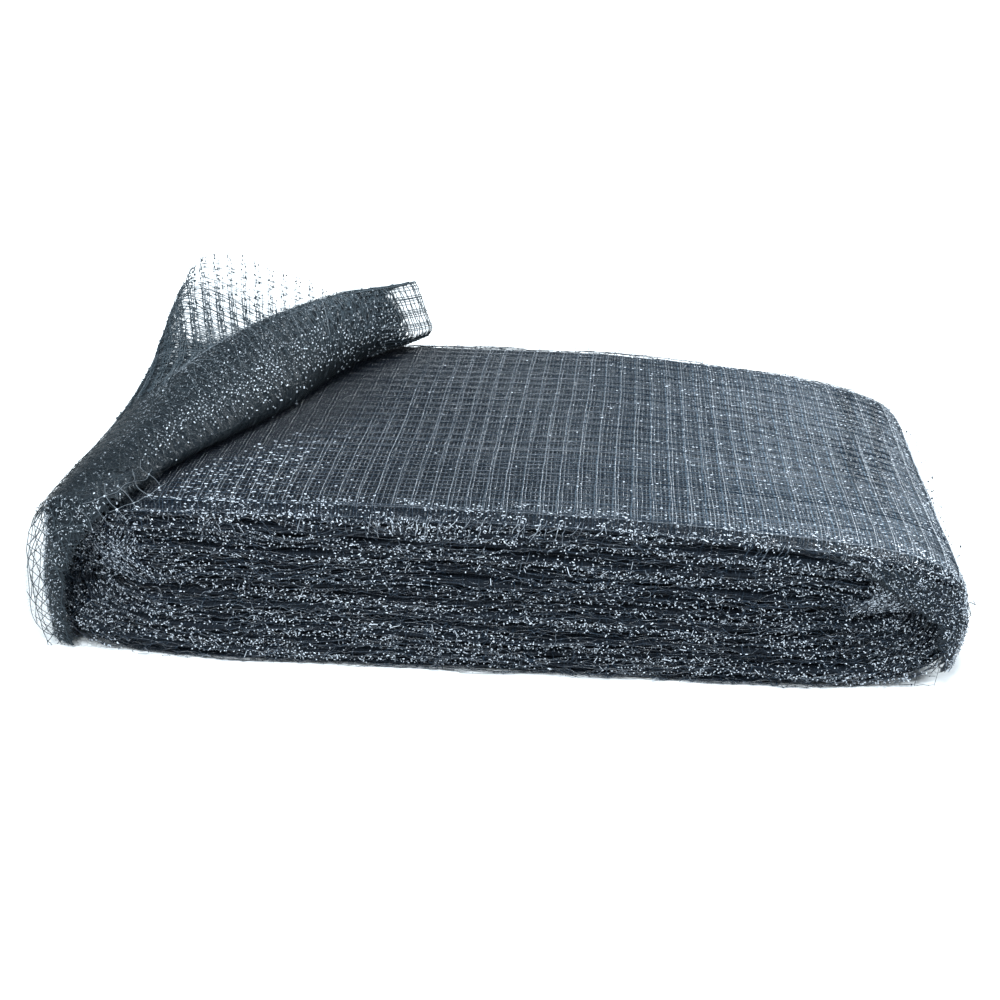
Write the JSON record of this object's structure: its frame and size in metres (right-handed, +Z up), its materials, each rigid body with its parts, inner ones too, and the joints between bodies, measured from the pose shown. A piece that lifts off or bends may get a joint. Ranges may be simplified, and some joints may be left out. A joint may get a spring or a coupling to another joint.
{
  "type": "roll of pond netting",
  "caption": "Flattened, coreless roll of black pond net lying on its broad side, its loose end drawn up round one end and laid back over the top as an open hood.",
  "frame": {"origin": "on the floor under the middle of the wound roll, in the middle of its flat underside", "axes": "+X along the roll towards the sloping end, away from the loose end; +Y from the folded front face to the back face; +Z up"},
  "size_m": [0.5205, 0.3088, 0.1511],
  "materials": {
    "wound_net": "black plastic net, many layers pressed together, with small bright glints",
    "loose_net": "black plastic net, a few layers, see-through where one layer stands clear"
  },
  "bodies": {
    "root": {"roll": "wound_net", "loose_end": "loose_net"}
  },
  "joints": []
}
